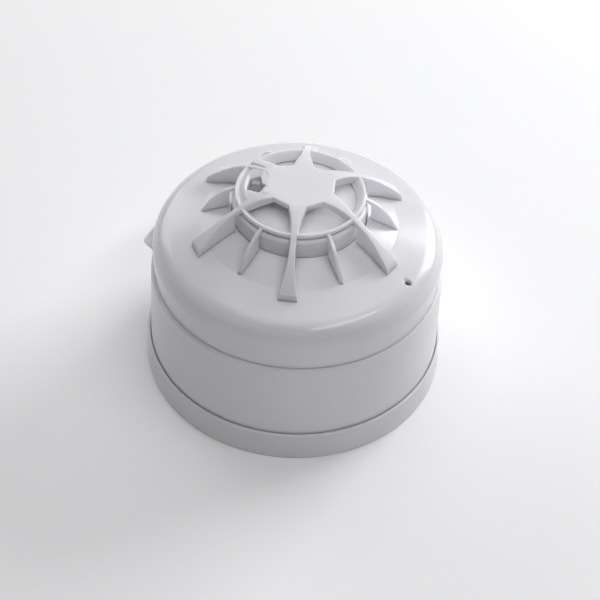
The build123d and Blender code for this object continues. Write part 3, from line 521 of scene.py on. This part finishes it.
def make_housing():
    """Tapered drum with a skirt, the bayonet's lugs, and the bosses and pillars inside."""
    outline = rounded([
        (50.2, 4.0, 0.4), (53.25, 4.0, 0.6), (53.25, 13.0, 2.0), (52.05, 43.0, 1.2),
        (48.6, 43.0, 0.2), (50.0, 12.5, 0.4), (39.0, 12.5, 0.3), (39.0, 14.5, 0.3),
        (32.4, 14.5, 0.3), (32.4, 12.5), (37.3, 12.5), (37.3, 10.5, 0.2),
        (39.4, 10.5, 0.3), (39.4, 3.3, 0.25), (41.2, 3.3, 0.25), (41.2, 10.5, 0.5), (50.2, 10.5, 0.5)])
    housing = lathe("housing_shell", outline)
    for azimuth in LUG_AZIMUTHS:
        join(housing, prism("lug", sector_outline(40.7, 45.4, azimuth, 10), 3.3, 6.2))
    for place in COVER_SCREWS + [polar(LOCK_R - 0.8, LOCK_AZIMUTH)]:
        join(housing, cylinder("boss", 4.2, 10.5, 40.0, place, 64))
    for place in COVER_SCREWS:
        recess = rounded([(0, 9), (3.4, 9), (3.4, 10.5), (3.1, 10.8), (3.1, 32.0), (0, 32.0)])
        cut(housing, lathe("recess", recess, place, 64), cylinder("clearance", 1.6, 31, 44, place))
    cut(housing, cylinder("insert_bore", 2.62, 9, 17.5, LOCK_PLACE),
        cylinder("driver_bore", 1.9, 17, 44, LOCK_PLACE))
    join(housing, post("guide", 4.4, 12.0, 22.5, 0.2, TAMPER, 64))
    cut(housing, cylinder("guide_bore", 3.1, 12.5, 23, TAMPER, 64),
        cylinder("plunger_bore", 1.68, 9, 13, TAMPER))
    for azimuth in LUG_AZIMUTHS:
        place = polar(36.3, azimuth)
        join(housing, post("pillar", 2.5, 14, 36.0, 0.2, place))
        cut(housing, cylinder("pilot", 1.25, 27, 37, place, 32))
    for azimuth in SCREW_AZIMUTHS:
        join(housing, post("door_boss", 2.7, 14, 18.0, 0.2, polar(35.2, azimuth)))
        cut(housing, cylinder("door_pilot", 1.0, 12, 17, polar(34.8, azimuth), 32))
    return finish_piece(housing, ["body_housing"], "head", "housing_plastic")


# ---------------------------------------------------------------- top cover
SEAM_Z, GROOVE_TOP = 43.0, 43.15
COVER_SIDE = (51.2, 52.2)    # the cover's outline from its side to its mouth: radius, height
SHOULDER = (44.6, 60.7)
CREASE = (34.3, 63.5)
MOUTH = (23.45, 68.0)
STACK_R = 28.0               # screws that hold the dome and the sensor board
FLAG_OUTLINE = ((-49.4, -3.0), (-50.9, -2.3), (-56.18, 2.8), (-53.3, 10.8), (-49.4, 15.0))
UP = (0, 1)                  # direction along an outline


def make_cover():
    """Domed cap above the seam, with the driver's hole in its shoulder."""
    inner_side, inner_shoulder = (49.2, 52.2), (44.08, 58.77)
    arc_out = tangent_arc(COVER_SIDE, SHOULDER, UP)
    arc_in = tangent_arc(inner_side, inner_shoulder, UP, 8)[::-1]
    outline = rounded([
        (48.3, SEAM_Z), (50.3, SEAM_Z, 0.05), (50.4, GROOVE_TOP, 0.05), (50.85, GROOVE_TOP, 0.15),
        (*COVER_SIDE, 0), *arc_out, (*CREASE, 0.4), (*MOUTH, 0.3), (MOUTH[0], 66.0, 0.3),
        (34.0, 61.5, 0.8),
        *arc_in, (*inner_side, 0), (48.3, 46.0, 0.3), (46.3, 46.0, 0.3), (46.3, 40.4, 0.3),
        (48.3, 40.4, 0.3), (48.3, 41.0), (47.4, 41.0), (47.4, 42.6), (48.3, 42.6)])
    cover = lathe("cover_shell", outline)
    for place in COVER_SCREWS:
        join(cover, cylinder("boss", 2.85, 40.1, 59.2, place))
        cut(cover, cylinder("pilot", 1.5, 39, 50.1, place, 32))
    for azimuth in SCREW_AZIMUTHS:
        place = polar(STACK_R, azimuth)
        join(cover, cylinder("stack_boss", 3.0, 58.0, 64.3, place))
        cut(cover, cylinder("stack_pilot", 1.25, 57, 62.2, place, 32))
    lip_z = 60.5             # the cover's surface at the hole
    flare = [(0, 50), (1.2, 50), (1.2, lip_z - 0.3), (1.28, lip_z - 0.1), (1.45, lip_z + 0.08),
             (1.75, lip_z + 0.3), (1.75, 65), (0, 65)]
    cut(cover, lathe("driver_hole", flare, LOCK_PLACE, 48))
    notch = [(-48.4, -3.1), (-51.0, -2.4), (-57, 2.8), (-57, 10.9), (-49.4, 15.2), (-48.4, 15.2)]
    cut(cover, prism("notch", notch, SEAM_Z - 0.01, SEAM_Z + 1.6))
    return finish_piece(cover, ["top_cover"], "head", "cover_plastic")


# ---------------------------------------------------------------- inner dome
PIPE_CENTRE = (-15.2, -0.6)


def make_dome():
    """White dome and collar under the star, with holes for the bead and the light pipe."""
    collar_r, collar_top, lip, edge = 23.2, 73.2, (21.6, 74.4), (20.4, 73.1)
    crown_side, crown_top = (10.4, 74.5), (0, 75.0)
    wall = 1.6
    shoulder = tangent_arc((collar_r, collar_top), lip, UP, 8)
    crown = three_point_arc(edge, crown_side, crown_top)
    under = three_point_arc(*((r, z - wall) for r, z in (edge, crown_side, crown_top)))[::-1]
    outline = rounded([
        (collar_r, 58.0, 0.4), (collar_r, collar_top, 0), *shoulder, (*edge, 0.3), *crown, *under,
        (edge[0], edge[1] - wall, 0), (21.8, 72.4, 0.5), (21.8, 56.4, 0.3), (34.5, 56.4, 0.3),
        (34.5, 58.0, 0.3)])
    dome = lathe("dome_shell", outline)
    for azimuth in SCREW_AZIMUTHS:
        place = polar(STACK_R, azimuth)
        join(dome, cylinder("sleeve", 2.6, 51.8, 57.0, place))
        cut(dome, cylinder("screw_hole", 1.4, 50, 59, place, 32))
    hole = [(0, 65), (2.4, 65), (2.4, 74.6), (2.6, 74.85), (3.0, 75.1), (3.0, 78), (0, 78)]
    cut(dome, lathe("sensor_hole", hole, (0, 0), 64))
    x, y, half_x, half_y = *PIPE_CENTRE, 1.7, 2.0
    corners = [(x + half_x, y + half_y), (x - half_x, y + half_y), (x - half_x, y - half_y),
               (x + half_x, y - half_y)]
    cut(dome, prism("pipe_hole", rounded(corners, 0.3), 65, 78))
    return finish_piece(dome, ["sensor_dome"], "head", "dome_plastic")


# ---------------------------------------------------------------- star cage
STAR_TOP = 80.199
PLATE_BOTTOM = 78.0
STAR_EDGE_R, BACK_EDGE_R = 11.5, 10.0    # the star's straight edges, from the axis
STAR_EDGE_SPAN = 14                      # degrees from an edge's middle to its corner
STAR_UPPER_EDGE = ((0.4, 0), (0.27, 0.03), (0.12, 0.12), (0.03, 0.25), (0, 0.4))  # depth, inset
PLATE_BEND_R = 13.0                      # where the plate starts to slope to the hoop
WINDOW_EDGE = (19.2, 77.8)               # where it dips, round the indicator window
HOOP = ((22.4, 76.9, 0.3), (21.5, 76.9, 0.3), (19.1, 74.4, 0.2), (19.3, 73.9, 0.2), (22.4, 75.5, 0.3))
RIB_SOFTNESS = 0.34          # rounding of the ribs' long edges
RIB_FOOT_Z = 58.0
RIB_HEAD_Z = 82.0
RIB_STEP_R = 24.5            # a rib is a beam inside this radius and a wall outside it
RIB_FACE_Z = 60.0            # where a big rib's slanting face meets its foot
SIGHT_SLOT = ((-20.3, 11.4), (-16.7, 9.5), (-12.8, 6.9), (-13.0, 7.5), (-16.6, 11.2), (-20.5, 12.7))

# Ribs by radius: half widths, crest with its directions at both ends, and underside of the beam.
BIG_RIB = {
    "widths": ((9.5, 3.5), (11.0, 3.1), (16.0, 1.75), (22.5, 0.95), (30.0, 1.0), (39.0, 2.75)),
    "draft": 0.65,
    "crest": ((9.5, STAR_TOP), (10.5, STAR_TOP), (17.9, 78.7), (24.5, 75.6), (32.1, 70.3), (38.4, 64.8)),
    "crest_ends": ((1, 0), (0.72, -0.69)),
    "under": ((9.5, PLATE_BOTTOM), (10.5, PLATE_BOTTOM), (14.4, 76.8), (18.5, 75.4), (22.4, 74.6),
              (24.5, 73.6)),
    "foot_r": 39.0,
    "start_r": 9.6,
}
SMALL_RIB = {
    "widths": ((21.4, 0.45), (28.0, 0.5), (34.6, 0.35)),
    "draft": 0.45,
    "crest": ((21.9, 76.4), (26.5, 73.9), (30.6, 69.9), (34.3, 63.4)),
    "crest_ends": ((0.92, -0.39), (0.42, -0.91)),
    "under": ((21.4, 75.4), (21.9, 75.2), (24.5, 73.6)),
    "foot_r": 34.3,
    "start_r": 21.5,
}


def soft_min(a, b, sharpness=7.0):
    """Smaller of two heights, with a rounded change from one to the other."""
    low, gap = min(a, b), abs(a - b)
    return low - np.log1p(np.exp(-sharpness * gap)) / sharpness


def rib(name, azimuth, widths, draft, crest, crest_ends, under, foot_r, start_r):
    """Rib along an azimuth, drawn section by section: half widths, crest and underside by radius."""
    plan = smooth_curve(widths)
    ridge = smooth_curve(crest, *crest_ends)
    low_r, low_z = zip(*under)
    end_r, end_z = crest[-1]
    loops = []
    stations = [*np.linspace(start_r, RIB_STEP_R - 0.06, 16),
                *np.linspace(RIB_STEP_R + 0.06, end_r - 0.4, 18),
                *np.linspace(end_r - 0.3, foot_r, 8)]
    for r in stations:
        top = float(np.interp(r, ridge[:, 0], ridge[:, 1]))
        if foot_r > end_r + 0.5:                      # the slanting face at the foot
            face = end_z + (end_r - r) * (end_z - RIB_FACE_Z) / (foot_r - end_r)
            top = soft_min(top, face)
        bottom = float(np.interp(r, low_r, low_z)) if r < RIB_STEP_R else RIB_FOOT_Z
        top = max(top, bottom + 0.5)
        half = float(np.interp(r, plan[:, 0], plan[:, 1]))
        reach = [half + draft * (RIB_HEAD_Z - z) / (RIB_HEAD_Z - RIB_FOOT_Z) for z in (top, bottom)]
        corners = [(reach[0], top), (-reach[0], top), (-reach[1], bottom), (reach[1], bottom)]
        softness = min(RIB_SOFTNESS, 0.45 * reach[0], 0.4 * (top - bottom))
        section = rounded(corners, softness, 4)
        loops.append([(*turned([(r, y)], azimuth)[0], z) for y, z in section])
    return stack(name, loops)


def star_plate():
    """Star in the middle of the cage, with a rounded upper edge."""
    corners = []
    for azimuth in SMALL_RIBS:
        edge_r = BACK_EDGE_R if azimuth in BACK_FACETS else STAR_EDGE_R
        corner_r = edge_r / cos(radians(STAR_EDGE_SPAN))
        corners += [polar(corner_r, azimuth + side * STAR_EDGE_SPAN) for side in (-1, 1)]
    levels = [(PLATE_BOTTOM, 0.3), (PLATE_BOTTOM + 0.3, 0)]
    levels += [(STAR_TOP - depth, inset) for depth, inset in STAR_UPPER_EDGE]
    loops = []
    for z, inset in levels:
        share = 1 - inset / STAR_EDGE_R
        loops.append([(x * share, y * share, z) for x, y in rounded(corners, 0.5)])
    return stack("cage", loops)


def plate_sector(corners, start, end):
    """Part of the plate between two azimuths, from its section."""
    profile = rounded(corners)
    return stack("sector", [[(*polar(r, a), z) for r, z in profile] for a in range(start, end + 1)])


def window_sector():
    """Sloping plate that dips to the hoop round the indicator window, and meets it by the slot."""
    start = [(9.5, STAR_TOP), (PLATE_BEND_R, STAR_TOP, 1.5)]
    end = [(9.5, PLATE_BOTTOM)]
    dip = [(*WINDOW_EDGE, 0.3), (20.7, 75.8, 0.2), (19.4, 74.3, 0.2)]
    slope = [(22.0, 77.0, 0.3), (22.4, 75.5, 0.2)]
    window = plate_sector(start + dip + end, 150, 210)
    beside = plate_sector(start + slope + end, 138, 150)
    return join(window, beside)


def window_cut():
    """Shallow funnel that runs down to the indicator window, and the window itself."""
    window = [(-17.7, 3.0), (-14.0, 3.4), (-13.2, -0.6), (-11.7, -1.6), (-13.6, -5.0), (-18.2, -2.7)]
    funnel = [(-18.9, 6.6), (-12.9, 5.9), (-10.7, 1.6), (-10.6, -3.2), (-13.7, -6.3), (-18.7, -3.0)]
    sink = 0.85
    fall = (STAR_TOP - WINDOW_EDGE[1]) / (WINDOW_EDGE[0] - PLATE_BEND_R)

    def surface(x, y):
        return STAR_TOP - max(0.0, hypot(x, y) - PLATE_BEND_R) * fall

    rim = rounded(funnel, 0.5, 3)
    inner = rounded(window, 0.5, 3)
    loops = [[(x, y, 70.0) for x, y in inner],
             [(x, y, surface(x, y) - sink) for x, y in inner],
             [(x, y, surface(x, y) + 0.02) for x, y in rim],
             [(x, y, 81.5) for x, y in rim]]
    return stack("window", loops)


def make_cage():
    """Star, hoop, window plate and ribs as one solid, trimmed to the cover's surface."""
    cage = star_plate()
    join(cage, lathe("hoop", rounded(HOOP), segments=240), window_sector())
    for azimuth in BIG_RIBS:
        join(cage, rib("big_rib", azimuth, **BIG_RIB))
    for azimuth in SMALL_RIBS:
        join(cage, rib("small_rib", azimuth, **SMALL_RIB))
    envelope = [(0, 50), (51, 50), (51, 58.75), SHOULDER, CREASE, MOUTH, (0, MOUTH[1])]
    sight = prism("sight", rounded(SIGHT_SLOT, 0.15, 3), 70.0, 82.0)
    undercut = rounded([(x - 0.35, y + 0.75) for x, y in SIGHT_SLOT], 0.15, 3)
    cut(cage, lathe("envelope", envelope), window_cut(), sight, prism("relief", undercut, 70.0, 77.2))
    return finish_piece(cage, ["sensor_cage"], "head", "cover_plastic")


# ---------------------------------------------------------------- small pieces
def make_light_pipe():
    """Square light pipe with a slanting face at the front of its top."""
    x, y, half_x, half_y = *PIPE_CENTRE, 1.5, 1.8
    low, high = 54.0, 78.6
    loops = []
    for z, inset in ((low, 0.2), (low + 0.2, 0), (high - 0.25, 0), (high - 0.07, 0.07), (high, 0.25)):
        wide, deep = half_x - inset, half_y - inset
        corners = [(x + wide, y + deep), (x - wide, y + deep), (x - wide, y - deep), (x + wide, y - deep)]
        loops.append([(px, py, z) for px, py in rounded(corners, 0.3, 3)])
    pipe = stack("light_pipe", loops)
    near, far = y - half_y - 0.5, y - half_y + 1.6           # the slanting face runs between these
    drop = 1.84
    slant = [(near, high - drop), (far, high), (far, high + 1), (near, high + 1)]
    cut(pipe, stack("bevel", [[(px, wy, wz) for wy, wz in slant] for px in (x - 3, x + 3)]))
    return finish_piece(pipe, ["led_light_pipe"], "head", "clear_plastic")


def inset_outline(outline, distance):
    """Outline moved inwards by a distance, corner by corner."""
    made = []
    for i, corner in enumerate(outline):
        b, c, a = (Vector(outline[i - 1]), Vector(corner), Vector(outline[(i + 1) % len(outline)]))
        to_b, to_a = (b - c).normalized(), (a - c).normalized()
        half = to_b.angle(to_a) / 2
        made.append(tuple(c + (to_b + to_a).normalized() * (distance / sin(half))))
    return made


def make_flag():
    """Index flag with a raised border round a recessed field."""
    bottom, top, field = SEAM_Z, SEAM_Z + 1.49, SEAM_Z + 1.0
    loops = []
    border = ((bottom, 0.2), (bottom + 0.2, 0), (top - 0.3, 0), (top - 0.09, 0.08), (top, 0.3),
              (top, 0.85), (top - 0.12, 1.05), (field + 0.08, 1.15), (field, 1.35))
    for z, inset in border:
        outline = inset_outline(FLAG_OUTLINE, inset)
        outline = [(*p, 1.6 if i == 2 else 0.3) for i, p in enumerate(outline)]
        loops.append([(x, y, z) for x, y in rounded(outline, steps=6)])
    return finish_piece(stack("index_flag_detailed", loops), ["index_flag"], "head", "housing_plastic")


def make_bead():
    """Heat-sensing bead that stands in the dome's hole."""
    belly = three_point_arc((1.45, 76.1), (1.03, 77.12), (0, 77.55), 12)
    outline = rounded([(0, 75.4), (1.2, 75.4, 0.2), (1.45, 76.1, 0), *belly])
    return finish_piece(lathe("bead", outline, segments=48), ["thermistor_bead"], "head", "sensor_resin")


SPRING_LOW, SPRING_HIGH = 14.0, 21.0     # the plunger's collar and the cap, at rest


def make_spring():
    """Tamper spring: a coil from the plunger's collar up to the cap, at rest."""
    wire, coil_r, turns = 0.25, 2.0, 5
    rise = SPRING_HIGH - SPRING_LOW - 2 * wire
    loops = []
    for share in np.linspace(0, 1, 40 * turns + 1):
        turn = 2 * pi * turns * share
        middle = SPRING_LOW + wire + rise * share
        loops.append([(TAMPER[0] + (coil_r + wire * cos(t)) * cos(turn),
                       TAMPER[1] + (coil_r + wire * cos(t)) * sin(turn), middle + wire * sin(t))
                      for t in np.linspace(0, 2 * pi, 12, endpoint=False)])
    spring = finish_piece(stack("tamper_coil", loops), ["tamper_spring"], "head", "spring_steel")
    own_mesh(spring)


# ---------------------------------------------------------------- floor, light and camera
FLOOR_GLOW = 0.04
FLOOR_HOLE_R, FLOOR_R, FLOOR_Z = 0.053, 3.0, -0.00002    # metres
FLOOR_SEGMENTS = 96
FLOOR_TONES = ((0.925, 0.927, 0.935), (0.935, 0.937, 0.945))


def make_floor():
    """Pale floor round the base, open under it, and see-through from below."""
    def build(bm):
        angles = np.linspace(0, 2 * pi, FLOOR_SEGMENTS, endpoint=False)
        rings = [[bm.verts.new((r * cos(a), r * sin(a), FLOOR_Z)) for a in angles]
                 for r in (FLOOR_HOLE_R, FLOOR_R)]
        for j in range(FLOOR_SEGMENTS):
            k = (j + 1) % FLOOR_SEGMENTS
            bm.faces.new((rings[0][j], rings[1][j], rings[1][k], rings[0][k]))
    floor = new_object("floor", build)
    if floor.data.polygons[0].normal.z < 0:
        floor.data.flip_normals()
    s = Shader("floor")
    tone = s.mix(s.to_range(s.noise(120, detail=2), 0, 1), *FLOOR_TONES)
    paper = s.add("ShaderNodeBsdfPrincipled", {"Base Color": tone, "Roughness": 0.85,
                                               "Specular IOR Level": 0.2,
                                               "Emission Color": (1.0, 1.0, 1.0, 1),
                                               "Emission Strength": FLOOR_GLOW})
    clear = s.add("ShaderNodeBsdfTransparent")
    below = s.add("ShaderNodeNewGeometry").outputs["Backfacing"]
    both = s.add("ShaderNodeMixShader", {0: below, 1: paper.outputs[0], 2: clear.outputs[0]})
    output = s.add("ShaderNodeOutputMaterial")
    s.tree.links.new(both.outputs[0], output.inputs["Surface"])
    floor.data.materials.append(s.material)


def softbox(name, place, size, power, aim=(0, 0, 0.04)):
    """Rectangular area light that faces a point."""
    lamp = bpy.data.lights.new(name, "AREA")
    lamp.shape = "RECTANGLE"
    lamp.size, lamp.size_y = size
    lamp.energy = power
    made = bpy.data.objects.new(name, lamp)
    bpy.context.scene.collection.objects.link(made)
    made.location = place
    made.rotation_euler = (Vector(aim) - Vector(place)).to_track_quat("-Z", "Y").to_euler()
    return made


LAMPS = (       # name, place, width and height, watts
    ("top", (0.0, 0.0, 1.0), (0.8, 0.8), 2.9),
    ("top_back", (0.0, 0.6, 0.85), (0.9, 0.5), 1.4),
    ("back", (0.1, 1.05, 0.40), (1.2, 0.6), 0.8),
    ("back_right", (0.75, 0.75, 0.5), (0.6, 0.6), 8.6),
    ("back_left", (-0.75, 0.75, 0.5), (0.6, 0.6), 2.5),
    ("front", (0.0, -0.95, 0.6), (0.8, 0.5), 0.35),
    ("front_left", (-0.6, -0.75, 0.8), (0.25, 0.25), 0.3),
    ("strip", (0.45, -0.34, 0.95), (0.77, 0.10), 2.1),
)


WORLD_COLOUR, WORLD_STRENGTH = (0.90, 0.92, 1.0, 1), 0.02


def light_scene():
    """Soft boxes round the part, and a faint sky."""
    for name, place, size, power in LAMPS:
        softbox(name, place, size, power)
    world = bpy.data.worlds.new("studio")
    world.use_nodes = True
    background = world.node_tree.nodes["Background"]
    background.inputs["Color"].default_value = WORLD_COLOUR
    background.inputs["Strength"].default_value = WORLD_STRENGTH
    bpy.context.scene.world = world
    bpy.context.scene.view_settings.view_transform = "Standard"


CAMERA_DOWN, CAMERA_TURN, CAMERA_ROLL = 45.74, 3.5, 3.0    # degrees
CAMERA_SHIFT = (0.0026, 0.01642, 0.5095)                   # right, up and back, in metres


def make_camera():
    """The photograph's view, found by a fit to the part's circles."""
    data = bpy.data.cameras.new("camera")
    data.lens = 80.2
    data.sensor_width = 36.0
    data.clip_start, data.clip_end = 0.01, 20
    camera = bpy.data.objects.new("camera", data)
    bpy.context.scene.collection.objects.link(camera)
    turn = (Matrix.Rotation(radians(CAMERA_TURN), 4, "Z")
            @ Matrix.Rotation(radians(90 - CAMERA_DOWN), 4, "X")
            @ Matrix.Rotation(radians(CAMERA_ROLL), 4, "Z"))
    camera.matrix_world = turn @ Matrix.Translation(CAMERA_SHIFT)
    bpy.context.scene.camera = camera


dress_cad_nodes()
make_base()
make_housing()
make_cover()
make_dome()
make_cage()
make_light_pipe()
make_flag()
make_bead()
make_spring()
make_floor()
light_scene()
make_camera()
